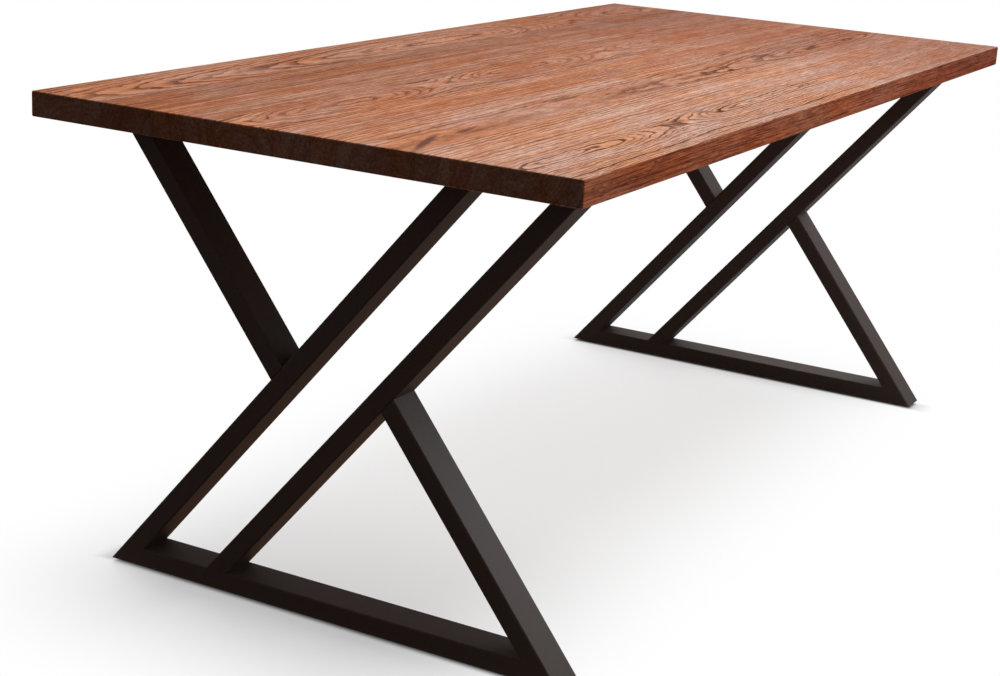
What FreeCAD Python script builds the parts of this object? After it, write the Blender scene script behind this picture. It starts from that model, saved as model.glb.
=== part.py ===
# Dining table: an edge-glued oak top, bolted to two welded steel end frames.
# X runs along the table, Y across it and Z up. The origin is on the floor, under the middle of the top.
import FreeCAD, Part
import math
import os
import Sketcher

# Driving sizes, in millimetres and degrees
SIZES = (
    ("table_height", 750.0, "floor to the upper face of the top"),
    ("top_length", 1900.0, "top, along the grain"),
    ("top_width", 880.0, "top, across the staves"),
    ("top_thickness", 37.0, "top"),
    ("edge_easing", 2.5, "rounding of the top's outer edges"),
    ("frame_inset", 120.0, "end of the top to the outer face of a frame"),
    ("frame_width", 792.0, "floor rail, from tip to tip"),
    ("diagonal_gap", 92.0, "clear space between the two diagonals"),
    ("strut_lean", 51.8, "angle of both struts from the floor"),
    ("strut_setback", 16.0, "upper strut's outer edge, in from the frame's width at the top"),
    ("tube_width", 30.0, "tube, in the plane of the frame"),
    ("tube_depth", 60.0, "tube, along the table"),
    ("tube_wall", 2.0, "tube's wall"),
    ("tube_outer_radius", 3.0, "tube's outer corners"),
    ("tube_inner_radius", 1.0, "tube's inner corners"),
    ("plate_width", 80.0, "top plate, along the table"),
    ("plate_thickness", 6.0, "top plate"),
    ("plate_corner", 6.0, "top plate's rounded corners"),
    ("slot_width", 9.0, "slots in the top plate"),
    ("slot_length", 18.0, "slots in the top plate, end to end"),
    ("bolt_edge", 90.0, "upper strut's inner edge to the nearest bolt"),
    ("bolt_diameter", 8.0, "bolt's shank"),
    ("bolt_head_flats", 13.0, "bolt's hexagon head, across its flats"),
    ("bolt_head_height", 5.3, "bolt's hexagon head"),
    ("bolt_tip_gap", 3.0, "bolt's tip to the end of the insert"),
    ("washer_diameter", 24.0, "washer, outside"),
    ("washer_hole", 8.4, "washer, inside"),
    ("washer_thickness", 2.0, "washer"),
    ("insert_diameter", 12.0, "threaded insert, outside"),
    ("insert_length", 18.0, "threaded insert"),
    ("glide_inset", 36.0, "tip of the floor rail to the middle of a foot"),
    ("glide_diameter", 28.0, "foot, at its widest"),
    ("glide_height", 6.0, "foot, floor to the rail's underside"),
    ("glide_chamfer", 1.5, "sloped rim of the foot's sole"),
    ("stem_diameter", 10.0, "foot's stem in the rail"),
    ("stem_length", 14.0, "foot's stem in the rail"),
    ("stem_chamfer", 1.0, "lead-in at the stem's tip"),
    ("fit_gap", 0.1, "radial gap of stems, bolts and inserts in their holes"),
    ("cut_overrun", 5.0, "how far a cut runs past the face that it opens"),
)

# Widths of the staves as shares of the top's width, from the +Y side. The last stave takes what is left.
STAVE_SHARES = (0.145, 0.105, 0.119, 0.108, 0.114, 0.136, 0.142)
BOLTS_PER_FRAME = 4
HEAD_SIDES = 6
FRAMES = ("left", "right")

# Places of the two feet along a floor rail, from its -Y tip
GLIDE_PLACES = {"front": "sizes.glide_inset", "back": "(sizes.frame_width - sizes.glide_inset)"}

X_AXIS = FreeCAD.Vector(1, 0, 0)
Y_AXIS = FreeCAD.Vector(0, 1, 0)
Z_AXIS = FreeCAD.Vector(0, 0, 1)
PARALLEL = 1e-6

# Sizes that follow from the driving ones. A rise is measured up from the floor rail's underside.
# The diagonals fill a band from the rail's +Y tip to the top plate's upper edge on the -Y side.
LAYOUT = (
    ("half_frame", "sizes.frame_width / 2"),
    ("top_underside", "sizes.table_height - sizes.top_thickness"),
    ("plate_underside", "layout.top_underside - sizes.plate_thickness"),
    ("frame_rise", "layout.top_underside - sizes.glide_height"),
    ("tube_rise", "layout.plate_underside - sizes.glide_height"),
    ("band_width", "2 * sizes.tube_width + sizes.diagonal_gap"),
    ("corner_distance", "sqrt(layout.frame_rise ^ 2 + sizes.frame_width ^ 2)"),
    ("diagonal_lean", "(atan(layout.frame_rise / sizes.frame_width)"
                      " + asin(layout.band_width / layout.corner_distance)) / 1 deg"),
    ("lean_sum", "layout.diagonal_lean + sizes.strut_lean"),
    ("diagonal_mitre", "sizes.tube_width / tan(layout.diagonal_lean / 2)"),
    ("diagonal_skew", "sizes.tube_width / tan(layout.diagonal_lean)"),
    ("outer_diagonal_length", "layout.tube_rise / sin(layout.diagonal_lean)"),
    ("inner_diagonal_length", "(layout.tube_rise - sizes.tube_width) / sin(layout.diagonal_lean)"),
    ("inner_diagonal_start", "layout.half_frame - layout.diagonal_skew"
                             " - (sizes.tube_width + sizes.diagonal_gap) / sin(layout.diagonal_lean)"),
    ("strut_mitre", "sizes.tube_width / tan(sizes.strut_lean / 2)"),
    ("strut_skew", "sizes.tube_width / tan(sizes.strut_lean)"),
    ("strut_butt_skew", "-sizes.tube_width / tan(layout.lean_sum)"),
    ("lower_strut_length", "layout.frame_rise * cos(layout.diagonal_lean) / sin(layout.lean_sum)"),
    ("upper_strut_reach", "layout.lower_strut_length"
                          " - sizes.strut_setback * sin(layout.diagonal_lean) / sin(layout.lean_sum)"),
    ("upper_strut_length", "layout.upper_strut_reach - sizes.plate_thickness / sin(sizes.strut_lean)"),
    ("plate_end", "layout.half_frame - sizes.strut_setback"),
    ("left_frame_start", "sizes.frame_inset - sizes.top_length / 2"),
    ("right_frame_start", "sizes.top_length / 2 - sizes.frame_inset - sizes.tube_depth"),
    ("first_bolt", "layout.half_frame - layout.tube_rise / tan(layout.diagonal_lean)"
                   " - (sizes.tube_width + sizes.diagonal_gap / 2) / sin(layout.diagonal_lean)"),
    ("last_bolt", "layout.plate_end - sizes.plate_thickness / tan(sizes.strut_lean)"
                  " - sizes.tube_width / sin(sizes.strut_lean) - sizes.bolt_edge"),
    ("bolt_length", "sizes.washer_thickness + sizes.plate_thickness + sizes.insert_length"
                    " - sizes.bolt_tip_gap"),
)

doc = FreeCAD.newDocument("table")


# Parameters
def add_sizes():
    sheet = doc.addObject("Spreadsheet::Sheet", "sizes")
    shares = [(f"stave_{i}_share", share, "stave, of the top's width")
              for i, share in enumerate(STAVE_SHARES, start=1)]
    for row, (name, value, meaning) in enumerate(list(SIZES) + shares, start=1):
        sheet.set(f"A{row}", meaning)
        sheet.set(f"B{row}", str(value))
        sheet.setAlias(f"B{row}", name)
    doc.recompute()


def add_layout():
    layout = doc.addObject("App::VarSet", "layout")
    for name, formula in LAYOUT:
        layout.addProperty("App::PropertyFloat", name)
        layout.setExpression(name, formula)
    doc.recompute()


def value_of(formula):
    return float(doc.getObject("layout").evalExpression(formula))


def place(item, x="0", y="0", z="0"):
    for axis, formula in zip("xyz", (x, y, z)):
        item.setExpression(f"Placement.Base.{axis}", formula)


# Sketches
def new_body(name):
    body = doc.addObject("PartDesign::Body", name)
    body.Label = name
    return body


def new_sketch(body, name, role):
    sketch = body.newObject("Sketcher::SketchObject", name)
    plane = next(item for item in body.Origin.OriginFeatures if item.Role == role)
    sketch.AttachmentSupport = [(plane, "")]
    sketch.MapMode = "FlatFace"
    return sketch


def bind(sketch, formula, kind, *geometry):
    index = sketch.addConstraint(Sketcher.Constraint(kind, *geometry, value_of(formula)))
    sketch.setExpression(f"Constraints[{index}]", formula)


def pin_point(sketch, geometry, vertex, across, up):
    """Holds one point of a sketch at two formulas, measured from the sketch's origin."""
    for kind, axis, formula in (("DistanceX", -2, across), ("DistanceY", -1, up)):
        if formula == "0":
            sketch.addConstraint(Sketcher.Constraint("PointOnObject", geometry, vertex, axis))
        else:
            bind(sketch, formula, kind, -1, 1, geometry, vertex)


def add_polygon(sketch, corners):
    points = [FreeCAD.Vector(value_of(across), value_of(up), 0) for across, up in corners]
    lines = [sketch.addGeometry(Part.LineSegment(start, end), False)
             for start, end in zip(points, points[1:] + points[:1])]
    for line, following in zip(lines, lines[1:] + lines[:1]):
        sketch.addConstraint(Sketcher.Constraint("Coincident", line, 2, following, 1))
    for line, (across, up) in zip(lines, corners):
        pin_point(sketch, line, 1, across, up)


def add_circle(sketch, across, up, radius):
    middle = FreeCAD.Vector(value_of(across), value_of(up), 0)
    circle = sketch.addGeometry(Part.Circle(middle, Z_AXIS, value_of(radius)), False)
    bind(sketch, radius, "Radius", circle)
    pin_point(sketch, circle, 3, across, up)


def add_slot(sketch, up, radius, half_reach):
    """A slot along the sketch's upright axis, with its middle on that axis."""
    middle, half_width, reach = value_of(up), value_of(radius), value_of(half_reach)
    top, bottom = middle + reach, middle - reach

    def add_end(height, start):
        circle = Part.Circle(FreeCAD.Vector(0, height, 0), Z_AXIS, half_width)
        return sketch.addGeometry(Part.ArcOfCircle(circle, start, start + math.pi), False)

    def add_side(across):
        line = Part.LineSegment(FreeCAD.Vector(across, bottom, 0), FreeCAD.Vector(across, top, 0))
        return sketch.addGeometry(line, False)

    upper, lower = add_end(top, 0), add_end(bottom, math.pi)
    left, right = add_side(-half_width), add_side(half_width)
    for touching in ((right, 2, upper, 1), (upper, 2, left, 2), (left, 1, lower, 1), (lower, 2, right, 1)):
        sketch.addConstraint(Sketcher.Constraint("Tangent", *touching))
    sketch.addConstraint(Sketcher.Constraint("Equal", upper, lower))
    bind(sketch, radius, "Radius", upper)
    pin_point(sketch, upper, 3, "0", f"{up} + {half_reach}")
    pin_point(sketch, lower, 3, "0", f"{up} - {half_reach}")


# Features
def pad(body, sketch, length, side="One side"):
    feature = body.newObject("PartDesign::Pad", f"{sketch.Name}_pad")
    feature.Profile = sketch
    feature.SideType = side
    feature.setExpression("Length", length)
    doc.recompute()


def pocket(body, sketch, length=None, side="One side", upward=False):
    before = body.Shape.Volume
    feature = body.newObject("PartDesign::Pocket", f"{sketch.Name}_pocket")
    feature.Profile = sketch
    feature.SideType = side
    feature.Reversed = upward
    if length:
        feature.setExpression("Length", length)
    else:
        feature.Type = "ThroughAll"
    doc.recompute()
    if not body.Shape.Volume < before:
        raise ValueError(f"{feature.Name} removes nothing")
    return feature


def along(edge, axis):
    return isinstance(edge.Curve, Part.Line) and edge.Curve.Direction.cross(axis).Length < PARALLEL


def round_edges(body, radius, wanted):
    """Rounds the body's edges for which wanted(edge) is true."""
    base = body.Tip
    chosen = [f"Edge{i}" for i, edge in enumerate(base.Shape.Edges, start=1) if wanted(edge)]
    feature = body.newObject("PartDesign::Fillet", f"{body.Name}_rounding")
    feature.Base = (base, chosen)
    feature.setExpression("Radius", radius)
    doc.recompute()


# Tabletop
def stave_edges(number):
    """The stave's two edges across the top, as formulas measured towards +Y."""
    shares = [f"sizes.stave_{i}_share" for i in range(1, len(STAVE_SHARES) + 1)]
    upper = " - ".join(["0.5"] + shares[:number - 1])
    lower = " - ".join(["0.5"] + shares[:number]) if number <= len(shares) else "-0.5"
    return f"sizes.top_width * ({lower})", f"sizes.top_width * ({upper})"


def make_stave(number, insert_bores):
    """One board of the top: eased where it meets the rim, bored from below for the inserts."""
    name = f"stave_{number}"
    lower, upper = stave_edges(number)
    body = new_body(f"{name}_board")
    section = new_sketch(body, f"{name}_section", "YZ_Plane")
    add_polygon(section, ((lower, "0"), (upper, "0"),
                          (upper, "sizes.top_thickness"), (lower, "sizes.top_thickness")))
    pad(body, section, "sizes.top_length", side="Symmetric")
    middle = (value_of(lower) + value_of(upper)) / 2
    is_first = number == 1
    is_last = number > len(STAVE_SHARES)

    def on_rim(edge):
        outward = edge.CenterOfMass.y - middle
        return along(edge, Y_AXIS) or (is_first and outward > 0) or (is_last and outward < 0)

    round_edges(body, "sizes.edge_easing", on_rim)
    place(body, z="layout.top_underside")
    stave = doc.addObject("Part::Cut", name)
    stave.Label = name
    stave.Base = body
    stave.Tool = insert_bores
    return stave


# End frames
def make_tube(name, low, high):
    """A rectangular tube along Y. Low and high are the starts and ends of its lower and upper edges."""
    body = new_body(name)
    outline = new_sketch(body, f"{name}_outline", "YZ_Plane")
    low_start, low_end = low
    high_start, high_end = high
    add_polygon(outline, ((low_start, "0"), (low_end, "0"),
                          (high_end, "sizes.tube_width"), (high_start, "sizes.tube_width")))
    pad(body, outline, "sizes.tube_depth")
    hollow = new_sketch(body, f"{name}_hollow", "XZ_Plane")
    far_side = "sizes.tube_depth - sizes.tube_wall"
    upper_side = "sizes.tube_width - sizes.tube_wall"
    add_polygon(hollow, (("sizes.tube_wall", "sizes.tube_wall"), (far_side, "sizes.tube_wall"),
                         (far_side, upper_side), ("sizes.tube_wall", upper_side)))
    pocket(body, hollow, side="Symmetric")
    half_width = value_of("sizes.tube_width / 2")
    half_wall = value_of("sizes.tube_wall / 2")

    def is_inner(edge):
        return abs(edge.CenterOfMass.z - half_width) < half_width - half_wall

    round_edges(body, "sizes.tube_inner_radius", lambda edge: along(edge, Y_AXIS) and is_inner(edge))
    round_edges(body, "sizes.tube_outer_radius", lambda edge: along(edge, Y_AXIS) and not is_inner(edge))
    return body


def make_floor_rail(name):
    """The rail on the floor, mitred to the outer diagonal and the lower strut, with holes for the feet."""
    rail = make_tube(name, ("0", "sizes.frame_width"),
                     ("layout.strut_mitre", "sizes.frame_width - layout.diagonal_mitre"))
    holes = new_sketch(rail, f"{name}_stem_holes", "XY_Plane")
    for inset in GLIDE_PLACES.values():
        add_circle(holes, "sizes.tube_depth / 2", inset, "sizes.stem_diameter / 2 + sizes.fit_gap")
    pocket(rail, holes, "sizes.tube_wall + sizes.cut_overrun", upward=True)
    return rail


def make_top_plate(name):
    """The flat plate that the tubes are welded to, slotted across the grain so that the top can move."""
    body = new_body(name)
    outline = new_sketch(body, f"{name}_outline", "XY_Plane")
    half_width = "sizes.plate_width / 2"
    add_polygon(outline, ((f"-{half_width}", "-layout.half_frame"), (half_width, "-layout.half_frame"),
                          (half_width, "layout.plate_end"), (f"-{half_width}", "layout.plate_end")))
    pad(body, outline, "sizes.plate_thickness")
    round_edges(body, "sizes.plate_corner", lambda edge: along(edge, Z_AXIS))
    slot = new_sketch(body, f"{name}_slot", "XY_Plane")
    add_slot(slot, "layout.first_bolt", "sizes.slot_width / 2",
             "(sizes.slot_length - sizes.slot_width) / 2")
    first_slot = pocket(body, slot, upward=True)
    row = body.newObject("PartDesign::LinearPattern", f"{name}_slots")
    row.Originals = [first_slot]
    row.Direction = (slot, ["V_Axis"])
    row.setExpression("Length", "layout.last_bolt - layout.first_bolt")
    row.Occurrences = BOLTS_PER_FRAME
    body.Tip = row
    doc.recompute()
    return body


def make_glide(name):
    """A round foot with a stem that plugs into the rail."""
    body = new_body(name)
    profile = new_sketch(body, f"{name}_profile", "XZ_Plane")
    rim = "sizes.glide_diameter / 2"
    stem = "sizes.stem_diameter / 2"
    tip = "sizes.glide_height + sizes.stem_length"
    add_polygon(profile, (("0", "0"), (f"{rim} - sizes.glide_chamfer", "0"), (rim, "sizes.glide_chamfer"),
                          (rim, "sizes.glide_height"), (stem, "sizes.glide_height"),
                          (stem, f"{tip} - sizes.stem_chamfer"), (f"{stem} - sizes.stem_chamfer", tip),
                          ("0", tip)))
    turn = body.newObject("PartDesign::Revolution", f"{name}_turn")
    turn.Profile = profile
    turn.ReferenceAxis = (profile, ["V_Axis"])
    doc.recompute()
    return body


def lean_in_frame(tube, angle, y, rise):
    """Turns a tube up in the plane of its frame and sets its start over the floor rail's underside."""
    tube.Placement = FreeCAD.Placement(FreeCAD.Vector(), FreeCAD.Rotation(X_AXIS, value_of(angle)))
    tube.setExpression("Placement.Rotation.Angle", angle)
    tube.setExpression("Placement.Base.y", y)
    tube.setExpression("Placement.Base.z", f"sizes.glide_height + {rise}")


def make_frame(side):
    """One end frame: five tubes, the plate on top of them and the two feet under the rail."""
    start = f"layout.{side}_frame_start"
    middle = f"{start} + sizes.tube_depth / 2"
    rail = make_floor_rail(f"{side}_floor_rail")
    place(rail, y="-layout.half_frame", z="sizes.glide_height")
    outer = make_tube(f"{side}_outer_diagonal", ("0", "layout.outer_diagonal_length"),
                      ("layout.diagonal_mitre", "layout.outer_diagonal_length + layout.diagonal_skew"))
    lean_in_frame(outer, "180 - layout.diagonal_lean", "layout.half_frame", "0")
    inner = make_tube(f"{side}_inner_diagonal", ("0", "layout.inner_diagonal_length"),
                      ("layout.diagonal_skew", "layout.inner_diagonal_length + layout.diagonal_skew"))
    lean_in_frame(inner, "180 - layout.diagonal_lean", "layout.inner_diagonal_start", "sizes.tube_width")
    upper = make_tube(f"{side}_upper_strut", ("0", "layout.upper_strut_length"),
                      ("layout.strut_butt_skew", "layout.upper_strut_length - layout.strut_skew"))
    lean_in_frame(upper, "sizes.strut_lean",
                  "layout.plate_end - layout.upper_strut_reach * cos(sizes.strut_lean)",
                  "layout.frame_rise - layout.upper_strut_reach * sin(sizes.strut_lean)")
    lower = make_tube(f"{side}_lower_strut",
                      ("layout.strut_mitre", "layout.lower_strut_length - layout.strut_butt_skew"),
                      ("0", "layout.lower_strut_length"))
    lean_in_frame(lower, "sizes.strut_lean",
                  "sizes.tube_width * sin(sizes.strut_lean) - layout.half_frame",
                  "-sizes.tube_width * cos(sizes.strut_lean)")
    tubes = [rail, outer, inner, upper, lower]
    for tube in tubes:
        tube.setExpression("Placement.Base.x", start)
    plate = make_top_plate(f"{side}_top_plate")
    place(plate, x=middle, z="layout.plate_underside")
    glides = []
    for end, inset in GLIDE_PLACES.items():
        glide = make_glide(f"{side}_{end}_glide")
        place(glide, x=middle, y=f"{inset} - layout.half_frame")
        glides.append(glide)
    return tubes + [plate] + glides


# Fixings between the plates and the top
def make_ring(name, outer_radius, inner_radius, height):
    body = new_body(name)
    section = new_sketch(body, f"{name}_section", "XY_Plane")
    add_circle(section, "0", "0", outer_radius)
    add_circle(section, "0", "0", inner_radius)
    pad(body, section, height)
    return body


def make_cylinder(name, radius, height, z):
    cylinder = doc.addObject("Part::Cylinder", name)
    cylinder.setExpression("Radius", radius)
    cylinder.setExpression("Height", height)
    place(cylinder, z=z)
    return cylinder


def make_bolt(name):
    """A hexagon bolt, head down, with the head's bearing face at the origin's height."""
    head = doc.addObject("Part::Prism", f"{name}_head")
    head.Polygon = HEAD_SIDES
    head.setExpression("Circumradius", f"sizes.bolt_head_flats / 2 / cos(180 / {HEAD_SIDES})")
    head.setExpression("Height", "sizes.bolt_head_height")
    place(head, z="-sizes.bolt_head_height")
    shank = make_cylinder(f"{name}_shank", "sizes.bolt_diameter / 2", "layout.bolt_length", "0")
    bolt = doc.addObject("Part::Fuse", name)
    bolt.Base = head
    bolt.Tool = shank
    return bolt


def at_bolts(name, piece, z):
    """Copies of one piece at every bolt, as one group of separate solids."""
    copies = []
    for side in FRAMES:
        for i in range(BOLTS_PER_FRAME):
            copy = doc.addObject("App::Link", f"{name}_{side}_{i + 1}")
            copy.LinkedObject = piece
            step = f"(layout.last_bolt - layout.first_bolt) * {i} / {BOLTS_PER_FRAME - 1}"
            middle = f"layout.{side}_frame_start + sizes.tube_depth / 2"
            place(copy, x=middle, y=f"layout.first_bolt + {step}", z=z)
            copies.append(copy)
    group = doc.addObject("Part::Compound", name)
    group.Label = name
    group.Links = copies
    return group


def make_fixings():
    bolt_seat = "layout.plate_underside - sizes.washer_thickness"
    insert_radius = "sizes.insert_diameter / 2"
    bolts = at_bolts("top_bolts", make_bolt("bolt"), bolt_seat)
    washer = make_ring("washer", "sizes.washer_diameter / 2", "sizes.washer_hole / 2",
                       "sizes.washer_thickness")
    washers = at_bolts("bolt_washers", washer, bolt_seat)
    insert = make_ring("insert", insert_radius, "sizes.bolt_diameter / 2 + sizes.fit_gap",
                       "sizes.insert_length")
    inserts = at_bolts("thread_inserts", insert, "layout.top_underside")
    bore = make_cylinder("insert_bore", f"{insert_radius} + sizes.fit_gap",
                         "sizes.insert_length + sizes.cut_overrun", "-sizes.cut_overrun")
    bores = at_bolts("insert_bores", bore, "layout.top_underside")
    return [bolts, washers, inserts], bores


def check(pieces):
    doc.recompute()
    for item in doc.Objects:
        if "Invalid" in item.State or "Error" in item.State:
            raise ValueError(f"{item.Label} failed: {item.State}")
    for piece in pieces:
        if piece.Shape.isNull() or not piece.Shape.isValid() or not piece.Shape.Solids:
            raise ValueError(f"{piece.Label} has no valid solid")


def main():
    add_sizes()
    add_layout()
    fixings, insert_bores = make_fixings()
    pieces = [make_stave(number, insert_bores) for number in range(1, len(STAVE_SHARES) + 2)]
    for side in FRAMES:
        pieces += make_frame(side)
    pieces += fixings
    check(pieces)
    os.makedirs("parts", exist_ok=True)
    for piece in pieces:
        piece.Shape.exportStep(f"parts/{piece.Label}.step")


main()
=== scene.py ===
import math
from typing import NamedTuple

import bmesh
import bpy
from mathutils import Color, Matrix, Vector


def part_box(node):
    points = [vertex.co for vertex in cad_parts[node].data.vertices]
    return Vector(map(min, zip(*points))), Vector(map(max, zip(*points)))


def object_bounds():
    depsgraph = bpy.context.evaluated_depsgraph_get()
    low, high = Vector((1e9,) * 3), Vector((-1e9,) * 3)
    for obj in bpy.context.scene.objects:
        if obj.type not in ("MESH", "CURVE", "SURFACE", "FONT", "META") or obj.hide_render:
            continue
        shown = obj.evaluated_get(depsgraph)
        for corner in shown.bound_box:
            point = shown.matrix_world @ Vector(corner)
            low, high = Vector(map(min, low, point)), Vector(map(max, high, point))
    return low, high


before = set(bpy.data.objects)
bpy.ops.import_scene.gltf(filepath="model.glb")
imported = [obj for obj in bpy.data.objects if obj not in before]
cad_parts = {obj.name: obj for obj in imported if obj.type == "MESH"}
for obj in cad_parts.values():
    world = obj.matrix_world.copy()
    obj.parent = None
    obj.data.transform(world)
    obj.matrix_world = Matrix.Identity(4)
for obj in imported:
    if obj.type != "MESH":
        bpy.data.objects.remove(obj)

bl_info = {
    "name": "Sawbuck table finishes",
    "version": (1, 0, 0),
    "blender": (4, 5, 0),
    "location": "View3D > Sidebar > Table",
    "description": "Stains the oak top, coats the steel frames and sets the table in a studio",
    "category": "Object",
}

# Pieces of the table
CAD_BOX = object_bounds()
FLOOR_TO_TOP = CAD_BOX[1].z
TABLE_END = CAD_BOX[1].x
STAVES = sorted(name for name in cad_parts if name.startswith("stave_"))
SIDES = ("left", "right")
STEEL_PIECES = ("floor_rail", "outer_diagonal", "inner_diagonal", "upper_strut", "lower_strut", "top_plate")
GLIDES = ("front_glide", "back_glide")


# Figure of the staves
class Swirl(NamedTuple):
    """A place on a stave where the pith dips or the wood is stained, in metres and degrees.

    Its middle lies at x along the top, and aside of the stave's own middle line. A push below zero lifts the
    pith instead.
    """
    x: float
    aside: float
    half_length: float
    half_width: float
    push: float = 0.0
    stain: float = 0.0
    turn: float = 0.0


class Figure(NamedTuple):
    """How a stave was sawn from its log, in metres, and how it took the stain.

    The pith of the log ran aside of the stave's middle line, at a depth under the face of the top. Its depth
    changes by slope along the top, and grows by bend on both sides of bend_x.
    """
    pith_aside: float
    pith_depth: float
    ring_width: float
    contrast: float
    tone: float
    slope: float = 0.0
    bend: float = 0.0
    bend_x: float = 0.0
    wander: float = 0.016
    # How much paler the stave is made: partly its own tone and partly painted sheen.
    pale: float = 0.0
    far_contrast: float = 0.52
    swirls: tuple = ()


WHOLE_WIDTH = 0.15
FIGURES = {
    "stave_1": Figure(
        pith_aside=-0.024, pith_depth=0.010, ring_width=0.0078, contrast=1.0, tone=1.0,
        bend=0.085, bend_x=0.04, pale=0.15, far_contrast=0.75,
        swirls=(Swirl(0.52, -0.031, 0.19, WHOLE_WIDTH, push=0.055),)),
    "stave_2": Figure(
        pith_aside=-0.106, pith_depth=0.050, ring_width=0.0080, contrast=0.78, tone=0.85, slope=-0.012),
    "stave_3": Figure(
        pith_aside=0.162, pith_depth=0.060, ring_width=0.0090, contrast=0.72, tone=0.98, slope=0.012),
    "stave_4": Figure(
        pith_aside=0.007, pith_depth=0.012, ring_width=0.0066, contrast=1.0, tone=1.08,
        swirls=tuple(Swirl(x, 0.007, half_length, WHOLE_WIDTH, push=0.034)
                     for x, half_length in ((-0.97, 0.15), (-0.43, 0.13), (0.14, 0.16)))),
    "stave_5": Figure(
        pith_aside=-0.130, pith_depth=0.060, ring_width=0.0080, contrast=0.72, tone=1.09, slope=0.014,
        pale=0.12),
    "stave_6": Figure(
        pith_aside=-0.032, pith_depth=0.052, ring_width=0.0085, contrast=0.95, tone=1.07, slope=-0.006,
        pale=0.3, far_contrast=1.1,
        swirls=(Swirl(-0.88, -0.032, 0.080, 0.008, push=0.005, stain=0.9, turn=18),
                Swirl(-0.76, -0.023, 0.045, 0.007, push=0.005, stain=0.8, turn=8),
                Swirl(-0.41, 0.011, 0.050, 0.009, stain=0.6),
                Swirl(0.34, 0.055, 0.050, 0.012, stain=0.45, turn=8),
                Swirl(0.36, -0.010, 0.055, 0.013, stain=0.65, turn=-8),
                Swirl(0.66, -0.030, 0.330, WHOLE_WIDTH, push=-0.040),
                Swirl(0.57, -0.032, 0.050, 0.008, stain=0.6, turn=12))),
    "stave_7": Figure(
        pith_aside=-0.158, pith_depth=0.050, ring_width=0.0095, contrast=0.8, tone=1.06, slope=-0.010,
        wander=0.020, pale=0.66),
    "stave_8": Figure(
        pith_aside=0.032, pith_depth=-0.006, ring_width=0.0056, contrast=1.2, tone=1.06, pale=0.72,
        swirls=(Swirl(-1.04, 0.037, 0.090, WHOLE_WIDTH, push=-0.024),
                Swirl(-0.50, 0.037, 0.160, WHOLE_WIDTH, push=-0.034),
                Swirl(-0.497, 0.039, 0.020, 0.010, stain=0.55),
                Swirl(-0.452, 0.037, 0.016, 0.009, stain=0.5),
                Swirl(-0.345, 0.046, 0.026, 0.009, stain=0.5, turn=-30))),
}

# Node sheets
WHITE = (1.0, 1.0, 1.0, 1.0)
NOISE_MIDDLE = 0.5

# A Mix node repeats its sockets' names for each kind of value, so the ones for colours go by number
MIX_SHARE = 0
MIX_FIRST_COLOR = 6
MIX_SECOND_COLOR = 7
MIXED_COLOR = 2


class NodeSheet:
    """Adds nodes to one tree and links their sockets."""

    def __init__(self, tree):
        self.tree = tree

    def feed(self, socket, value):
        if isinstance(value, bpy.types.NodeSocket):
            self.tree.links.new(value, socket)
        else:
            socket.default_value = value

    def add(self, kind, inputs=(), **settings):
        node = self.tree.nodes.new(f"ShaderNode{kind}")
        for name, value in settings.items():
            setattr(node, name, value)
        for name, value in dict(inputs).items():
            self.feed(node.inputs[name], value)
        return node

    def group(self, tree, **inputs):
        node = self.add("Group", node_tree=tree)
        for name, value in inputs.items():
            self.feed(node.inputs[name.replace("_", " ").capitalize()], value)
        return node.outputs

    def math(self, operation, *values):
        return self.add("Math", enumerate(values), operation=operation).outputs[0]

    def product(self, first, *others):
        for other in others:
            first = self.math("MULTIPLY", first, other)
        return first

    def plus(self, base, value, times):
        return self.math("MULTIPLY_ADD", value, times, base)

    def vector_math(self, operation, first, second, output="Vector"):
        return self.add("VectorMath", {0: first, 1: second}, operation=operation).outputs[output]

    def triple(self, value):
        return self.add("CombineXYZ", {axis: value for axis in "XYZ"}).outputs[0]

    def parts(self, vector):
        return self.add("SeparateXYZ", {0: vector}).outputs

    def noise(self, vector, detail=2.0, roughness=0.5):
        inputs = {"Vector": vector, "Scale": 1.0, "Detail": detail, "Roughness": roughness}
        return self.add("TexNoise", inputs).outputs

    def step(self, value, low, high, start=0.0, end=1.0):
        inputs = {"Value": value, "From Min": low, "From Max": high, "To Min": start, "To Max": end}
        return self.add("MapRange", inputs, interpolation_type="SMOOTHSTEP").outputs[0]

    def mix(self, share, first, second, blend="MIX"):
        inputs = {MIX_SHARE: share, MIX_FIRST_COLOR: first, MIX_SECOND_COLOR: second}
        return self.add("Mix", inputs, data_type="RGBA", blend_type=blend).outputs[MIXED_COLOR]


def new_group(name, inputs, outputs):
    """A shader group with named sockets: its sheet, its input sockets and its output sockets."""
    tree = bpy.data.node_groups.new(name, "ShaderNodeTree")
    for direction, sockets in (("INPUT", inputs), ("OUTPUT", outputs)):
        for socket_name, kind in sockets.items():
            tree.interface.new_socket(socket_name, in_out=direction, socket_type=f"NodeSocket{kind}")
    entry = tree.nodes.new("NodeGroupInput")
    exit_node = tree.nodes.new("NodeGroupOutput")
    return NodeSheet(tree), entry.outputs, exit_node.inputs


def new_material(name):
    material = bpy.data.materials.new(name)
    material.use_nodes = True
    material.node_tree.nodes.clear()
    return material, NodeSheet(material.node_tree)


def finish_material(sheet, **inputs):
    """Ends a material in a Principled shader, whose named sockets take these values."""
    named = {name.replace("_", " ").title().replace("Ior", "IOR"): value for name, value in inputs.items()}
    shader = sheet.add("BsdfPrincipled", named)
    sheet.add("OutputMaterial", {"Surface": shader.outputs[0]})


def paint(node_name, material):
    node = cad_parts[node_name]
    node.data.materials.clear()
    node.data.materials.append(material)


# Patterns in the wood
class Waves(NamedTuple):
    """A pattern in the wood: waves in a metre along and across the grain, how fine and how ragged it is."""
    along: float
    across: float
    detail: float = 2.0
    roughness: float = 0.5


SEED_STEP = 3.7


def stretched(sheet, place, waves):
    return sheet.vector_math("MULTIPLY", place, (waves.along, waves.across, waves.across))


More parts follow.
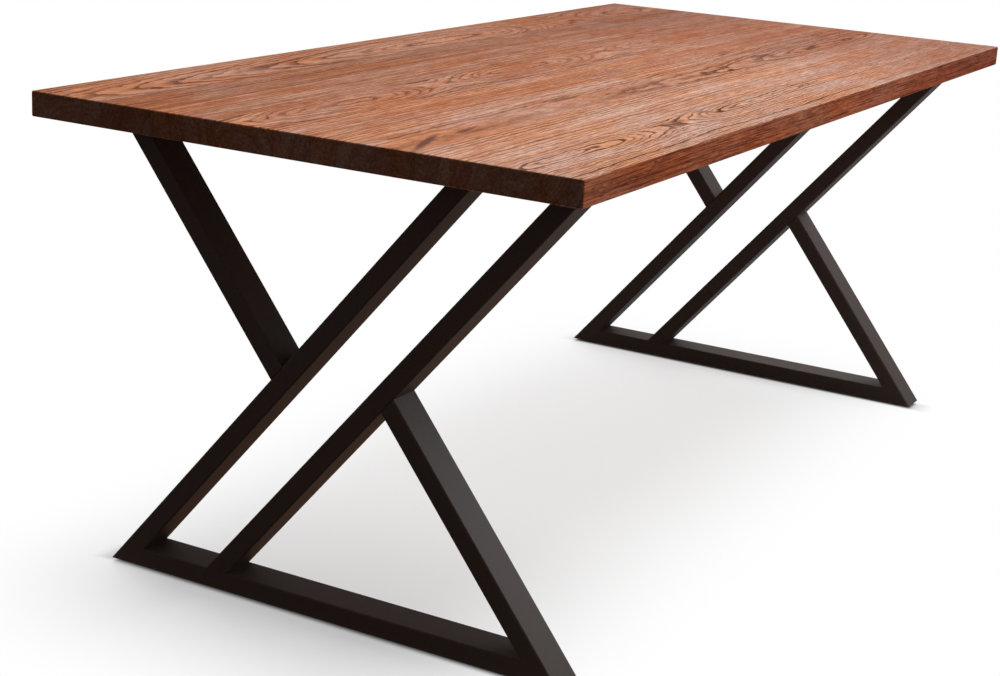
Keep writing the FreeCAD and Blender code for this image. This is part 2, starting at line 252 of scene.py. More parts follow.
def wood_noise(sheet, place, waves):
    return sheet.noise(stretched(sheet, place, waves), waves.detail, waves.roughness)["Fac"]


def wood_sway(sheet, place, waves):
    """The same pattern, swaying to both sides of zero."""
    return sheet.math("SUBTRACT", wood_noise(sheet, place, waves), NOISE_MIDDLE)


def own_place(sheet, given):
    """The place in the wood, moved by the stave's seed so that no two staves are alike."""
    return sheet.vector_math("ADD", given["Position"], sheet.triple(given["Seed"]))


# Swirls, knots and stains
RAGGED_RIM = Waves(30.0, 220.0, detail=3.0)
RIM_RAGGEDNESS = 0.9
MARK_SPAN = (0.2, 0.9)
THROUGH_STAVE = 0.5


def swirl_group():
    """1 in the middle of a swirl and 0 around it: softly for the grain, with a ragged rim for a stain."""
    inputs = {"Position": "Vector", "Middle": "Vector", "Size": "Vector", "Turn": "Float"}
    sheet, given, result = new_group("Grain swirl", inputs, {"Swirl": "Float", "Mark": "Float"})
    turn = {"Vector": given["Position"], "Center": given["Middle"], "Angle": given["Turn"]}
    turned = sheet.add("VectorRotate", turn, rotation_type="Z_AXIS", invert=True).outputs[0]
    offset = sheet.vector_math("SUBTRACT", turned, given["Middle"])
    share = sheet.vector_math("DIVIDE", offset, given["Size"])
    square = sheet.vector_math("DOT_PRODUCT", share, share, output="Value")
    swirl = sheet.math("EXPONENT", sheet.product(square, -1.0))
    ragged = sheet.plus(swirl, wood_sway(sheet, given["Position"], RAGGED_RIM), RIM_RAGGEDNESS)
    sheet.feed(result["Swirl"], swirl)
    sheet.feed(result["Mark"], sheet.step(ragged, *MARK_SPAN))
    return sheet.tree


# Growth rings
PITH_DRIFT = Waves(1.5, 6.0)
BEND_ROUNDING = 0.0775
RING_SWAYS = (
    (0.0090, Waves(6.0, 26.0)),
    (0.0030, Waves(11.0, 110.0, detail=3.0)),
    (0.0070, Waves(28.0, 45.0)),
)
WIDTH_WAVES = 0.55
WIDTH_UNEVENNESS = 1.1
BAND_WAVES = 0.38
BAND_SPAN = (0.36, 0.62)
BAND_STRENGTH = 0.3
BAND_TONE = -0.5
ONSET_SPAN = (0.0, 0.04)
FADE_SPAN = (0.12, 0.62)
RING_STRENGTH_SPAN = (-1.0, 0.6)
DASHES = Waves(16.0, 120.0)
DASH_SPAN = (0.30, 0.50)
FAINTEST_DASH = 0.6


def ring_radius(sheet, given, place):
    """How far the wood lies from the pith, which bends, drifts and is pushed by the swirls."""
    drift = sheet.noise(stretched(sheet, place, PITH_DRIFT), PITH_DRIFT.detail)["Color"]
    _, drift_aside, drift_down = sheet.parts(sheet.vector_math("SUBTRACT", drift, (NOISE_MIDDLE,) * 3))
    x, y, z = sheet.parts(given["Position"])
    from_bend = sheet.math("SUBTRACT", x, given["Bend x"])
    bend_reach = sheet.math("SQRT", sheet.plus(BEND_ROUNDING ** 2, from_bend, from_bend))
    depth = sheet.plus(given["Pith depth"], given["Slope"], x)
    depth = sheet.plus(depth, given["Bend"], bend_reach)
    depth = sheet.plus(depth, drift_down, given["Wander"])
    depth = sheet.math("ADD", depth, given["Push"])
    rise = sheet.math("SUBTRACT", depth, sheet.math("SUBTRACT", FLOOR_TO_TOP, z))
    aside = sheet.math("SUBTRACT", y, given["Pith y"])
    aside = sheet.plus(aside, drift_aside, given["Wander"])
    radius = sheet.math("SQRT", sheet.plus(sheet.product(rise, rise), aside, aside))
    for reach, waves in RING_SWAYS:
        radius = sheet.plus(radius, wood_sway(sheet, place, waves), reach)
    return radius


def ring_noise(sheet, given, ring, waves):
    """A value that changes from ring to ring."""
    inputs = {"W": sheet.plus(given["Seed"], ring, waves), "Scale": 1.0, "Detail": 1.0}
    return sheet.add("TexNoise", inputs, noise_dimensions="1D").outputs["Fac"]


def rings_group():
    """The growth rings of a log round its pith, and the open early wood that starts each ring."""
    inputs = {"Position": "Vector", "Pith y": "Float", "Pith depth": "Float", "Slope": "Float",
              "Bend": "Float", "Bend x": "Float", "Ring width": "Float", "Wander": "Float",
              "Push": "Float", "Seed": "Float"}
    sheet, given, result = new_group("Growth rings", inputs, {"Early wood": "Float", "Ring tone": "Float"})
    place = own_place(sheet, given)
    ring = sheet.math("DIVIDE", ring_radius(sheet, given, place), given["Ring width"])
    ring = sheet.plus(ring, ring_noise(sheet, given, ring, WIDTH_WAVES), WIDTH_UNEVENNESS)
    number = sheet.math("ADD", sheet.math("FLOOR", ring), given["Seed"])
    tone = sheet.add("TexWhiteNoise", {"W": number}, noise_dimensions="1D").outputs["Value"]
    band = sheet.step(ring_noise(sheet, given, ring, BAND_WAVES), *BAND_SPAN)

    share = sheet.math("FRACT", ring)
    onset = sheet.step(share, *ONSET_SPAN)
    fade = sheet.step(share, *FADE_SPAN, start=1.0, end=0.0)
    ring_strength = sheet.step(tone, *RING_STRENGTH_SPAN)
    band_strength = sheet.plus(1.0 - BAND_STRENGTH, band, BAND_STRENGTH)
    dashes = sheet.step(wood_noise(sheet, place, DASHES), *DASH_SPAN, start=FAINTEST_DASH)
    early = sheet.product(onset, fade, ring_strength, band_strength, dashes)
    sheet.feed(result["Early wood"], early)
    sheet.feed(result["Ring tone"], sheet.plus(tone, band, BAND_TONE))
    return sheet.tree


# Stained oak
FACE_SPAN = (0.45, 0.9)
FAR_LINES_SPAN = (-0.25, 0.5)
FAR_SPAN = (0.0, 0.8)
# The paler wood and its painted sheen fade to this share at the far end.
FAR_PALE_AND_SHEEN = 0.4
STREAKS = Waves(7.0, 210.0, detail=3.0, roughness=0.65)
RING_LIGHT = 0.16
LIGHT_SPAN = (0.36, 0.78)
CLOUDS = Waves(4.0, 18.0, detail=3.0)
CLOUD_LINES_SPAN = (0.3, 0.6)
FAINTEST_CLOUD = 0.75
PATCH_SPAN = (0.36, 0.64)
MOTTLE = Waves(18.0, 50.0)
MOTTLE_SPAN = (0.34, 0.66)
FLECKS = Waves(24.0, 300.0, roughness=0.6)
FLECK_SPAN = (0.58, 0.42)
FLECK_LINES_SPAN = (0.58, 0.66)
FLECK_LINES = 0.5
EDGE_STREAKS = Waves(6.0, 480.0, roughness=0.6)
EDGE_LINES_SPAN = (0.48, 0.62)
EDGE_LINES = 0.85
RINGS_LOST_ON_EDGE = 0.55
LINES_LOST_ON_END = 0.7
PORES = Waves(45.0, 1500.0, detail=1.0)
PORE_LEVEL = 0.66
PORE_CROWDING = 0.20
PORE_SOFTNESS = 0.06
EARLY_STAIN = 0.84
PORE_STAIN = 0.66
SEAM_WIDTH = 0.0012
SEAM_STAIN = 0.5
PORE_ROUGHNESS = 0.2
EARLY_ROUGHNESS = 0.08
PORE_RELIEF = -0.7
EARLY_RELIEF = -0.3
OAK_BUMP = 0.35
OAK_RELIEF = 0.0006
OAK_SPECULAR = 0.02


def sawn_faces(sheet):
    """1 on the ends of the staves, and 1 on the long edges of the top."""
    normal_x, normal_y, _ = sheet.parts(sheet.add("NewGeometry").outputs["Normal"])
    end_grain = sheet.step(sheet.math("ABSOLUTE", normal_x), *FACE_SPAN)
    edge = sheet.step(sheet.math("ABSOLUTE", normal_y), *FACE_SPAN)
    return end_grain, edge


def dark_lines(sheet, given, place, end_grain, edge, clouds, flecks):
    """The early wood as it shows: changed towards the far end, with short flecks and finer edge lines."""
    x, _, _ = sheet.parts(given["Position"])
    lively = sheet.step(x, *FAR_LINES_SPAN, start=1.0, end=given["Far contrast"])
    on_face = sheet.plus(1.0, edge, -RINGS_LOST_ON_EDGE)
    rings = sheet.product(given["Early wood"], given["Contrast"], lively, on_face)
    edge_streaks = wood_noise(sheet, place, EDGE_STREAKS)
    edge_lines = sheet.product(edge, sheet.step(edge_streaks, *EDGE_LINES_SPAN, end=EDGE_LINES))
    lines = sheet.math("MAXIMUM", rings, edge_lines)
    lines = sheet.product(lines, sheet.plus(1.0, end_grain, -LINES_LOST_ON_END),
                          sheet.step(clouds, *CLOUD_LINES_SPAN, start=FAINTEST_CLOUD))
    fleck_lines = sheet.product(lively, sheet.step(flecks, *FLECK_LINES_SPAN, end=FLECK_LINES))
    return sheet.math("MAXIMUM", lines, fleck_lines)


def open_pores(sheet, place, lines):
    """Fine pores, which crowd in the dark lines."""
    level = sheet.plus(PORE_LEVEL, lines, -PORE_CROWDING)
    return sheet.step(sheet.math("SUBTRACT", wood_noise(sheet, place, PORES), level), 0.0, PORE_SOFTNESS)


def late_wood(sheet, finish, given, place, end_grain, clouds, flecks):
    """Colour of the smooth wood: streaks, paler staves that are partly painted sheen, grey and warm patches,
    mottle and flecks.
    """
    x, _, _ = sheet.parts(given["Position"])
    light = sheet.plus(wood_noise(sheet, place, STREAKS), given["Ring tone"], RING_LIGHT)
    color = sheet.mix(sheet.step(light, *LIGHT_SPAN), finish.late_dark, finish.late_light)
    # Paler wood and painted sheen, fading towards the far end and left off the sawn ends.
    pale = sheet.product(given["Pale"], sheet.step(x, *FAR_SPAN, start=1.0, end=FAR_PALE_AND_SHEEN),
                         sheet.math("SUBTRACT", 1.0, end_grain))
    color = sheet.mix(pale, color, finish.pale)
    patches = sheet.mix(sheet.step(clouds, *PATCH_SPAN), finish.grey_patch, finish.warm_patch)
    color = sheet.mix(1.0, color, patches, blend="MULTIPLY")
    color = sheet.mix(sheet.step(x, *FAR_SPAN), color, finish.far_end, blend="MULTIPLY")
    mottle = sheet.step(wood_noise(sheet, place, MOTTLE), *MOTTLE_SPAN)
    color = sheet.mix(mottle, color, finish.mottle, blend="MULTIPLY")
    return sheet.mix(sheet.step(flecks, *FLECK_SPAN), color, finish.flecks, blend="MULTIPLY")


def glue_line(sheet, given, edge):
    """The stain that gathers where two staves meet, and none on the top's own long edges."""
    _, y, _ = sheet.parts(given["Position"])
    aside = sheet.math("ABSOLUTE", sheet.math("SUBTRACT", y, given["Middle y"]))
    from_seam = sheet.math("SUBTRACT", given["Half width"], aside)
    seam = sheet.step(from_seam, 0.0, SEAM_WIDTH, start=SEAM_STAIN, end=0.0)
    return sheet.product(seam, sheet.math("SUBTRACT", 1.0, edge))


def oak_group(finish):
    """Stained oak: its colour, roughness and relief from the rings, with streaks, pores and end grain."""
    inputs = {"Position": "Vector", "Early wood": "Float", "Ring tone": "Float", "Contrast": "Float",
              "Far contrast": "Float", "Tone": "Float", "Pale": "Float", "Stain": "Float",
              "Middle y": "Float", "Half width": "Float", "Seed": "Float"}
    outputs = {"Color": "Color", "Roughness": "Float", "Height": "Float"}
    sheet, given, result = new_group("Stained oak", inputs, outputs)
    place = own_place(sheet, given)
    end_grain, edge = sawn_faces(sheet)
    clouds = wood_noise(sheet, place, CLOUDS)
    flecks = wood_noise(sheet, place, FLECKS)
    lines = dark_lines(sheet, given, place, end_grain, edge, clouds, flecks)
    pores = open_pores(sheet, place, lines)

    color = late_wood(sheet, finish, given, place, end_grain, clouds, flecks)
    color = sheet.mix(sheet.product(lines, EARLY_STAIN), color, finish.early_wood)
    color = sheet.mix(sheet.product(pores, PORE_STAIN), color, finish.pores)
    color = sheet.mix(given["Stain"], color, finish.knot_stain)
    color = sheet.mix(1.0, color, sheet.triple(given["Tone"]), blend="MULTIPLY")
    color = sheet.mix(end_grain, color, finish.end_grain, blend="MULTIPLY")
    color = sheet.mix(edge, color, finish.long_edge, blend="MULTIPLY")
    color = sheet.mix(glue_line(sheet, given, edge), color, finish.pores)

    roughness = sheet.plus(finish.roughness, pores, PORE_ROUGHNESS)
    roughness = sheet.plus(roughness, lines, EARLY_ROUGHNESS)
    height = sheet.plus(sheet.product(lines, EARLY_RELIEF), pores, PORE_RELIEF)
    sheet.feed(result["Color"], color)
    sheet.feed(result["Roughness"], roughness)
    sheet.feed(result["Height"], height)
    return sheet.tree


def oak_material(name, seed, swirl_tree, rings_tree, oak_tree):
    """Oak with the figure of one stave."""
    material, sheet = new_material(f"oak {name}")
    figure = FIGURES[name]
    low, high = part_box(name)
    middle_y = (low.y + high.y) / 2
    position = sheet.add("TexCoord").outputs["Object"]
    push, stain = 0.0, 0.0
    for swirl in figure.swirls:
        shape = sheet.group(swirl_tree, position=position, turn=math.radians(swirl.turn),
                            middle=(swirl.x, middle_y + swirl.aside, FLOOR_TO_TOP),
                            size=(swirl.half_length, swirl.half_width, THROUGH_STAVE))
        if swirl.push:
            push = sheet.plus(push, shape["Swirl"], swirl.push)
        if swirl.stain:
            stain = sheet.plus(stain, shape["Mark"], swirl.stain)
    rings = sheet.group(rings_tree, position=position, pith_y=middle_y + figure.pith_aside,
                        pith_depth=figure.pith_depth, slope=figure.slope, bend=figure.bend,
                        bend_x=figure.bend_x, ring_width=figure.ring_width, wander=figure.wander,
                        push=push, seed=seed)
    oak = sheet.group(oak_tree, position=position, early_wood=rings["Early wood"],
                      ring_tone=rings["Ring tone"], contrast=figure.contrast,
                      far_contrast=figure.far_contrast, tone=figure.tone, pale=figure.pale, stain=stain,
                      middle_y=middle_y, half_width=(high.y - low.y) / 2, seed=seed)
    bump = sheet.add("Bump", {"Strength": OAK_BUMP, "Distance": OAK_RELIEF, "Height": oak["Height"]})
    finish_material(sheet, base_color=oak["Color"], roughness=oak["Roughness"], normal=bump.outputs[0],
                    specular_ior_level=OAK_SPECULAR)
    return material


# Coats of the steel, and the fittings
class Grain(NamedTuple):
    """The grain of a coat: its waves in a metre, and its relief in metres."""
    waves: float
    relief: float


COAT_TEXTURE = "Coat texture"
SPRAYED = Grain(420.0, 0.0004)
PLATED = Grain(600.0, 0.0001)
MOULDED = Grain(900.0, 0.0002)
SPECKS_IN_WAVE = 3.0
SPECK_DETAIL = 3.0
SPECK_RAGGEDNESS = 0.7
SPECK_SPAN = (0.3, 0.7)
SPECK_ROUGHNESS = 0.12
COAT_BUMP = 0.25
COAT_SPECULAR = 0.05


def coat_group():
    """The orange peel of a coat, and its finer speckle."""
    inputs = {"Position": "Vector", "Waves": "Float"}
    sheet, given, result = new_group(COAT_TEXTURE, inputs, {"Peel": "Float", "Speckle": "Float"})
    place = sheet.vector_math("MULTIPLY", given["Position"], sheet.triple(given["Waves"]))
    fine = sheet.vector_math("MULTIPLY", place, (SPECKS_IN_WAVE,) * 3)
    sheet.feed(result["Peel"], sheet.noise(place)["Fac"])
    sheet.feed(result["Speckle"], sheet.noise(fine, SPECK_DETAIL, SPECK_RAGGEDNESS)["Fac"])
    return sheet.tree


def coat_material(name, grain, dark, light, roughness, **shader):
    """A coat with lighter specks. More values for the shader can be given by name."""
    material, sheet = new_material(name)
    tree = bpy.data.node_groups.get(COAT_TEXTURE) or coat_group()
    coat = sheet.group(tree, position=sheet.add("TexCoord").outputs["Object"], waves=grain.waves)
    color = sheet.mix(sheet.step(coat["Speckle"], *SPECK_SPAN), dark, light)
    rough = sheet.plus(roughness, coat["Speckle"], SPECK_ROUGHNESS)
    bump = sheet.add("Bump", {"Strength": COAT_BUMP, "Distance": grain.relief, "Height": coat["Peel"]})
    finish_material(sheet, base_color=color, roughness=rough, normal=bump.outputs[0], **shader)
    return material


# Studio
class Card(NamedTuple):
    """A one-sided card that only reflections show: its middle, width and height, facing, glow and colour."""
    place: tuple
    size: tuple
    facing: tuple
    glow: float
    tint: tuple = WHITE


# The glowing cards put painted highlights in the steel and the top, and the warm card a painted warm
# reflection in the frames' undersides; the flags give painted dark reflections.
CARDS = {
    "high_card": Card(place=(4.1, -2.4, 5.2), size=(4.5, 4.5), facing=(-4.1, 2.4, -4.9), glow=16.0),
    "low_card": Card(place=(0.06, -0.84, 0.62), size=(0.95, 0.9), facing=(0, 0, -1), glow=18.5,
                     tint=(0.9, 0.97, 1.0, 1.0)),
    "back_flag": Card(place=(2.5, 2.6, 1.5), size=(7.0, 3.0), facing=(0, -1, 0), glow=0.03),
    "warm_card": Card(place=(-0.1, 0.05, 0.004), size=(1.3, 0.9), facing=(0, 0, 1), glow=0.7,
                      tint=(1.0, 0.58, 0.38, 1.0)),
    "floor_flag": Card(place=(-2.4, 0.0, 0.004), size=(3.1, 6.0), facing=(0, 0, 1), glow=0.03),
}
KEY_FROM = (0.58, 0.05, 0.81)

# Floor, with the soft shade under the table and the dark lines under its rails. How far the floor is
# lightened and how much light it throws back are set by place round the table, so part of its shade is
# painted shade.
FLOOR_TINT = (0.965, 0.985, 1.0, 1.0)
NEAR_BOUNCE = 0.15
NEAR_FADE = 0.25
NEAR_SPAN = (-TABLE_END - NEAR_FADE, -TABLE_END + NEAR_FADE)
UNDER_BOUNCE = 0.4
RAIL_LOW, RAIL_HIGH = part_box("right_floor_rail")
RAIL_X = (RAIL_LOW.x + RAIL_HIGH.x) / 2
RAIL_HALF = (RAIL_HIGH.x - RAIL_LOW.x) / 2
RAIL_FADE_UNDER = 0.016
RAIL_FADE_PAST = 0.003
RAIL_SIDE_SPAN = (RAIL_HALF - RAIL_FADE_UNDER, RAIL_HALF + RAIL_FADE_PAST)
TIP_FADE_START = 0.004
TIP_FADE_END = 0.044
RAIL_TIP_SPAN = (RAIL_HIGH.y + TIP_FADE_START, RAIL_HIGH.y + TIP_FADE_END)
SHADE_MIDDLE_Y = 0.09
SHADE_HALF_WIDTH = 0.15
SHADE_FADE = 0.42
NEAR_FRAME_SHADE = 0.67
NEAR_FRAME_FADE = 0.6
NEAR_FRAME_SPAN = (-RAIL_X, -RAIL_X + NEAR_FRAME_FADE)


def seen_rays(sheet):
    """1 for what the camera, a mirror or glass shows, and 0 for light on its way between surfaces."""
    path = sheet.add("LightPath").outputs
    seen = sheet.math("MAXIMUM", path["Is Camera Ray"], path["Is Glossy Ray"])
    return sheet.math("MAXIMUM", seen, path["Is Transmission Ray"])


def finish_clear(sheet, surface, share):
    """Ends a material in this surface, which is clear to the given share."""
    clear = sheet.add("BsdfTransparent")
    mixed = sheet.add("MixShader", {0: share, 1: surface.outputs[0], 2: clear.outputs[0]})
    sheet.add("OutputMaterial", {"Surface": mixed.outputs[0]})


def flat_mesh(name, size, matrix):
    """A rectangle of this width and height, with its place in its mesh."""
    mesh = bpy.data.meshes.new(name)
    shape = bmesh.new()
    bmesh.ops.create_grid(shape, x_segments=1, y_segments=1, size=0.5)
    bmesh.ops.scale(shape, verts=shape.verts, vec=(*size, 1.0))
    bmesh.ops.transform(shape, verts=shape.verts, matrix=matrix)
    shape.to_mesh(mesh)
    shape.free()
    return mesh


def from_shade(sheet, x, y):
    """How far the floor lies from the middle of the table's shade."""
    along = sheet.math("SUBTRACT", sheet.math("ABSOLUTE", x), RAIL_X)
    across = sheet.math("ABSOLUTE", sheet.math("SUBTRACT", y, SHADE_MIDDLE_Y))
    across = sheet.math("SUBTRACT", across, SHADE_HALF_WIDTH)
    along, across = (sheet.math("MAXIMUM", reach, 0.0) for reach in (along, across))
    return sheet.math("SQRT", sheet.plus(sheet.product(across, across), along, along))


def off_rails(sheet, x, y):
    """1 on the open floor and 0 under the rails."""
    from_rail = sheet.math("ABSOLUTE", sheet.math("SUBTRACT", sheet.math("ABSOLUTE", x), RAIL_X))
    beside = sheet.step(from_rail, *RAIL_SIDE_SPAN)
    past_tip = sheet.step(sheet.math("ABSOLUTE", y), *RAIL_TIP_SPAN)
    return sheet.math("MAXIMUM", beside, past_tip)


def floor_material(studio):
    """A matte floor that is white where it is seen, keeps the table's shade, and is clear from beneath."""
    material, sheet = new_material("floor")
    seen = seen_rays(sheet)
    x, y, _ = sheet.parts(sheet.add("TexCoord").outputs["Object"])
    away = from_shade(sheet, x, y)
    # Painted shade: the floor throws back less light under the table and on the camera's side.
    open_bounce = sheet.step(away, 0.0, SHADE_FADE, start=UNDER_BOUNCE, end=studio.floor_bounce)
    bounce = sheet.step(x, *NEAR_SPAN, start=NEAR_BOUNCE, end=open_bounce)
    matte = sheet.add("BsdfDiffuse", {"Color": sheet.mix(seen, bounce, FLOOR_TINT)})
    glow = sheet.add("Emission", {"Color": WHITE, "Strength": 1.0})
    # Painted shade: the floor is lightened less near the near frame and not at all under the rails, so more
    # of the cast shadow shows there.
    least_lift = sheet.step(x, *NEAR_FRAME_SPAN, start=studio.floor_lift * NEAR_FRAME_SHADE,
                            end=studio.floor_lift)
    lift = sheet.step(away, 0.0, SHADE_FADE, start=least_lift, end=1.0)
    lift = sheet.product(seen, lift, off_rails(sheet, x, y))
    surface = sheet.add("MixShader", {0: lift, 1: matte.outputs[0], 2: glow.outputs[0]})
    beneath = sheet.product(sheet.add("NewGeometry").outputs["Backfacing"],
                            sheet.add("LightPath").outputs["Is Camera Ray"])
    finish_clear(sheet, surface, beneath)
    return material


def add_floor(studio):
    mesh = flat_mesh("floor", (studio.floor_size, studio.floor_size), Matrix())
    mesh.materials.append(floor_material(studio))
    floor = bpy.data.objects.new("floor", mesh)
    bpy.context.scene.collection.objects.link(floor)


def card_material(name, card):
    material, sheet = new_material(name)
    glow = sheet.add("Emission", {"Color": card.tint, "Strength": card.glow})
    finish_clear(sheet, glow, sheet.add("NewGeometry").outputs["Backfacing"])
    return material


def add_card(name, card):
    turn = Vector(card.facing).to_track_quat("Z", "Y").to_matrix().to_4x4()
    mesh = flat_mesh(name, card.size, Matrix.Translation(card.place) @ turn)
    mesh.materials.append(card_material(name, card))
    card_sheet = bpy.data.objects.new(name, mesh)
    card_sheet.visible_camera = False
    card_sheet.visible_diffuse = False
    card_sheet.visible_shadow = False
    bpy.context.scene.collection.objects.link(card_sheet)


def add_key_light(studio):
    light = bpy.data.lights.new("key", "SUN")
    light.energy = studio.key_strength
    light.angle = studio.key_spread
    key = bpy.data.objects.new("key", light)
    key.rotation_euler = Vector(KEY_FROM).to_track_quat("Z", "Y").to_euler()
    bpy.context.scene.collection.objects.link(key)


def add_world(studio):
    """White where it is seen, and a weak light from all round elsewhere."""
    world = bpy.data.worlds.new("studio")
    world.use_nodes = True
    world.node_tree.nodes.clear()
    bpy.context.scene.world = world
    sheet = NodeSheet(world.node_tree)
    strength = sheet.step(seen_rays(sheet), 0.0, 1.0, start=studio.fill, end=1.0)
    sky = sheet.add("Background", {"Color": WHITE, "Strength": strength})
    sheet.add("OutputWorld", {"Surface": sky.outputs[0]})


def add_camera(studio):
    heading, tilt, roll = studio.camera_turn
    forward = Vector((math.cos(heading), math.sin(heading), 0)) * math.cos(tilt)
    forward.z = -math.sin(tilt)
    level = Vector((math.sin(heading), -math.cos(heading), 0))
    down = forward.cross(level)
    right = math.cos(roll) * level + math.sin(roll) * down
    up = math.sin(roll) * level - math.cos(roll) * down
    turn = Matrix((right, up, -forward)).transposed()
    camera_data = bpy.data.cameras.new("camera")
    camera_data.lens = studio.lens
    camera = bpy.data.objects.new("camera", camera_data)
    camera.matrix_world = Matrix.Translation(studio.camera_place) @ turn.to_4x4()
    bpy.context.scene.collection.objects.link(camera)
    bpy.context.scene.camera = camera


# Settings
SCREEN_WHITE = 255


def color_prop(name, description, *screen):
    """A colour that is written as it looks on screen, in red, green and blue."""
    linear = Color([level / SCREEN_WHITE for level in screen]).from_srgb_to_scene_linear()
    return bpy.props.FloatVectorProperty(name=name, description=description, subtype="COLOR", size=4,
                                         min=0.0, max=1.0, default=(*linear, 1.0))


def share_prop(name, description, default):
    return bpy.props.FloatProperty(name=name, description=description, default=default, min=0.0, max=1.0,
                                   subtype="FACTOR")


class TableOakFinish(bpy.types.PropertyGroup):
    """Colours of the stained top"""
    late_light: color_prop("Late wood, light", "Lightest streaks of the smooth wood", 222, 171, 143)
    late_dark: color_prop("Late wood, dark", "Darkest streaks of the smooth wood", 192, 134, 104)
    # Partly the paler wood of some staves and partly painted sheen, most on the near staves.
    pale: color_prop("Pale wood", "Paler wood of the staves sawn near the bark", 244, 204, 182)
    grey_patch: color_prop("Grey patches", "Multiplies the wood in its greyer patches", 247, 247, 252)
    warm_patch: color_prop("Warm patches", "Multiplies the wood in its warmer patches", 251, 224, 196)
    far_end: color_prop("Far end tint", "Multiplies the wood towards the far end", 229, 220, 218)
    mottle: color_prop("Mottle tint", "Multiplies the wood in its small patches", 241, 229, 221)
    flecks: color_prop("Fleck tint", "Multiplies the wood in its short flecks", 222, 212, 206)
    early_wood: color_prop("Early wood", "Open wood at the start of each ring", 94, 50, 30)
    pores: color_prop("Pores", "Stain that gathered in the pores", 64, 32, 18)
    knot_stain: color_prop("Knot stain", "Dark wood round the knots", 88, 54, 44)
    end_grain: color_prop("End grain", "Multiplies the wood on the sawn ends", 140, 140, 146)
    long_edge: color_prop("Long edge", "Multiplies the wood on the long edges", 215, 163, 134)
    roughness: share_prop("Roughness", "Roughness of the satin oil", 0.7)


class TableSteelFinish(bpy.types.PropertyGroup):
    """Colours of the frames and the fittings"""
    dark: color_prop("Coat, dark", "Sprayed coat of the frames", 43, 32, 27)
    light: color_prop("Coat, light", "Lighter specks of the coat", 66, 51, 45)
    roughness: share_prop("Coat roughness", "Roughness of the coat", 0.56)
    zinc_dark: color_prop("Zinc, dark", "Plated bolts and washers, duller spots", 164, 167, 172)
    zinc_light: color_prop("Zinc, light", "Plated bolts and washers", 206, 208, 210)
    brass_dark: color_prop("Brass, dark", "Threaded inserts, duller spots", 170, 130, 66)
    brass_light: color_prop("Brass, light", "Threaded inserts", 206, 168, 100)
    metal_roughness: share_prop("Metal roughness", "Roughness of the zinc and the brass", 0.25)
    plastic_dark: color_prop("Plastic, dark", "Moulded glides", 16, 16, 16)
    plastic_light: color_prop("Plastic, light", "Moulded glides, paler grain", 34, 33, 32)
    plastic_roughness: share_prop("Plastic roughness", "Roughness of the glides", 0.5)


class TableStudio(bpy.types.PropertyGroup):
    """The camera, the lights and the floor"""
    lens: bpy.props.FloatProperty(
        name="Lens", description="Focal length on a 36 mm wide frame", default=68.0, unit="CAMERA")
    camera_place: bpy.props.FloatVectorProperty(
        name="Camera place", description="Where the camera stands", default=(-2.9711, -1.4209, 1.1913),
        subtype="XYZ", unit="LENGTH")
    camera_turn: bpy.props.FloatVectorProperty(
        name="Camera turn", description="Heading from +X, tilt down and roll", subtype="EULER",
        unit="ROTATION", default=tuple(math.radians(angle) for angle in (28.2054, 16.0462, -3.3813)))
    key_strength: bpy.props.FloatProperty(
        name="Key light", description="Strength of the soft high light", default=2.7, min=0.0)
    key_spread: bpy.props.FloatProperty(
        name="Key spread", description="Angle over which the key light spreads", default=math.radians(90),
        unit="ROTATION")
    fill: bpy.props.FloatProperty(
        name="Fill", description="Strength of the light from all round", default=0.3, min=0.0)
    floor_size: bpy.props.FloatProperty(
        name="Floor", description="Width of the floor", default=60.0, unit="LENGTH")
    floor_bounce: share_prop("Floor bounce", "Share of light the floor throws back", 0.85)
    floor_lift: share_prop("Floor lift", "How far the floor's shadows are lightened", 0.62)


# Operators
class TABLE_OT_stain_staves(bpy.types.Operator):
    """Gives each stave of the top stained oak with a figure of its own"""
    bl_idname = "table.stain_staves"
    bl_label = "Stain the staves"

    def execute(self, context):
        trees = swirl_group(), rings_group(), oak_group(context.scene.table_oak)
        for number, name in enumerate(STAVES, start=1):
            paint(name, oak_material(name, number * SEED_STEP, *trees))
        return {"FINISHED"}


class TABLE_OT_coat_frames(bpy.types.Operator):
    """Coats the tubes and plates of both end frames"""
    bl_idname = "table.coat_frames"
    bl_label = "Coat the end frames"

    def execute(self, context):
        steel = context.scene.table_steel
        coat = coat_material("frame coat", SPRAYED, steel.dark, steel.light, steel.roughness,
                             specular_ior_level=COAT_SPECULAR)
        for side in SIDES:
            for piece in STEEL_PIECES:
                paint(f"{side}_{piece}", coat)
        return {"FINISHED"}


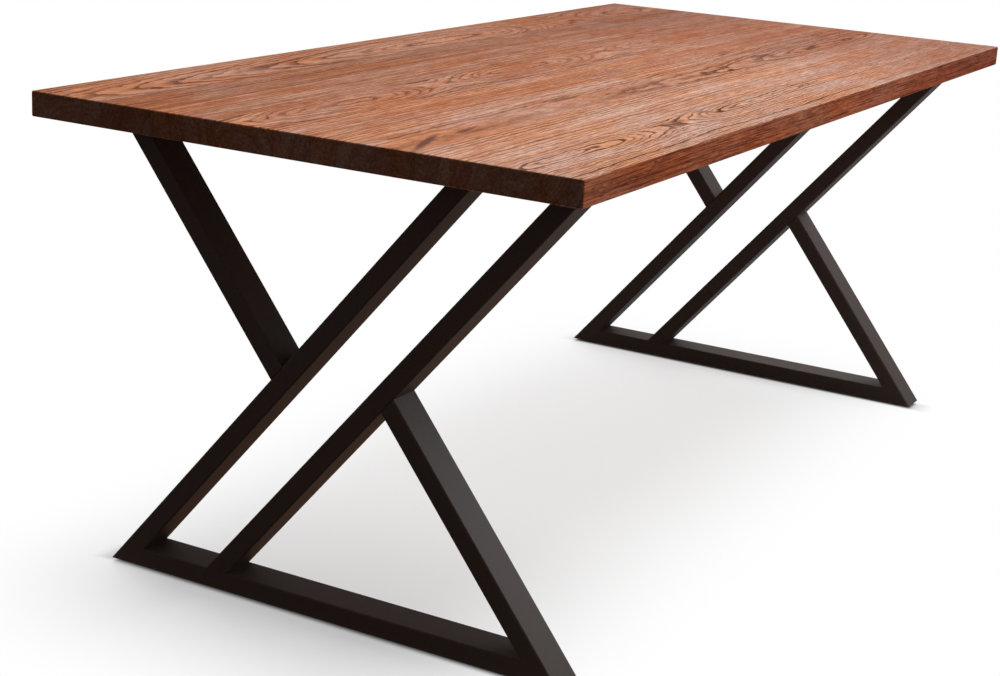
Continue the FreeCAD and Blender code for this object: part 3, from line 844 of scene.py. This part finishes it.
class TABLE_OT_finish_fittings(bpy.types.Operator):
    """Finishes the bolts, washers, inserts and glides"""
    bl_idname = "table.finish_fittings"
    bl_label = "Finish the fittings"

    def execute(self, context):
        steel = context.scene.table_steel
        zinc = coat_material("zinc", PLATED, steel.zinc_dark, steel.zinc_light, steel.metal_roughness,
                             metallic=1.0)
        brass = coat_material("brass", PLATED, steel.brass_dark, steel.brass_light, steel.metal_roughness,
                              metallic=1.0)
        plastic = coat_material("glide plastic", MOULDED, steel.plastic_dark, steel.plastic_light,
                                steel.plastic_roughness)
        paint("top_bolts", zinc)
        paint("bolt_washers", zinc)
        paint("thread_inserts", brass)
        for side in SIDES:
            for glide in GLIDES:
                paint(f"{side}_{glide}", plastic)
        return {"FINISHED"}


class TABLE_OT_set_studio(bpy.types.Operator):
    """Sets up the floor, the lights and the camera"""
    bl_idname = "table.set_studio"
    bl_label = "Set the studio"

    def execute(self, context):
        studio = context.scene.table_studio
        add_floor(studio)
        add_key_light(studio)
        for name, card in CARDS.items():
            add_card(name, card)
        add_world(studio)
        add_camera(studio)
        context.scene.view_settings.view_transform = "Standard"
        return {"FINISHED"}


OPERATORS = (TABLE_OT_stain_staves, TABLE_OT_coat_frames, TABLE_OT_finish_fittings, TABLE_OT_set_studio)


# Panel
class TABLE_PT_finishes(bpy.types.Panel):
    """Lists the steps that finish the table"""
    bl_label = "Table"
    bl_idname = "TABLE_PT_finishes"
    bl_space_type = "VIEW_3D"
    bl_region_type = "UI"
    bl_category = "Table"

    def draw(self, context):
        for operator in OPERATORS:
            self.layout.operator(operator.bl_idname)
        for group in (context.scene.table_oak, context.scene.table_steel, context.scene.table_studio):
            box = self.layout.box()
            for name in group.__annotations__:
                box.prop(group, name)


CLASSES = (TableOakFinish, TableSteelFinish, TableStudio, *OPERATORS, TABLE_PT_finishes)


def register():
    for cls in CLASSES:
        bpy.utils.register_class(cls)
    bpy.types.Scene.table_oak = bpy.props.PointerProperty(type=TableOakFinish)
    bpy.types.Scene.table_steel = bpy.props.PointerProperty(type=TableSteelFinish)
    bpy.types.Scene.table_studio = bpy.props.PointerProperty(type=TableStudio)


def unregister():
    del bpy.types.Scene.table_studio
    del bpy.types.Scene.table_steel
    del bpy.types.Scene.table_oak
    for cls in reversed(CLASSES):
        bpy.utils.unregister_class(cls)


def main():
    register()
    bpy.ops.table.stain_staves()
    bpy.ops.table.coat_frames()
    bpy.ops.table.finish_fittings()
    bpy.ops.table.set_studio()


if __name__ == "__main__":
    main()
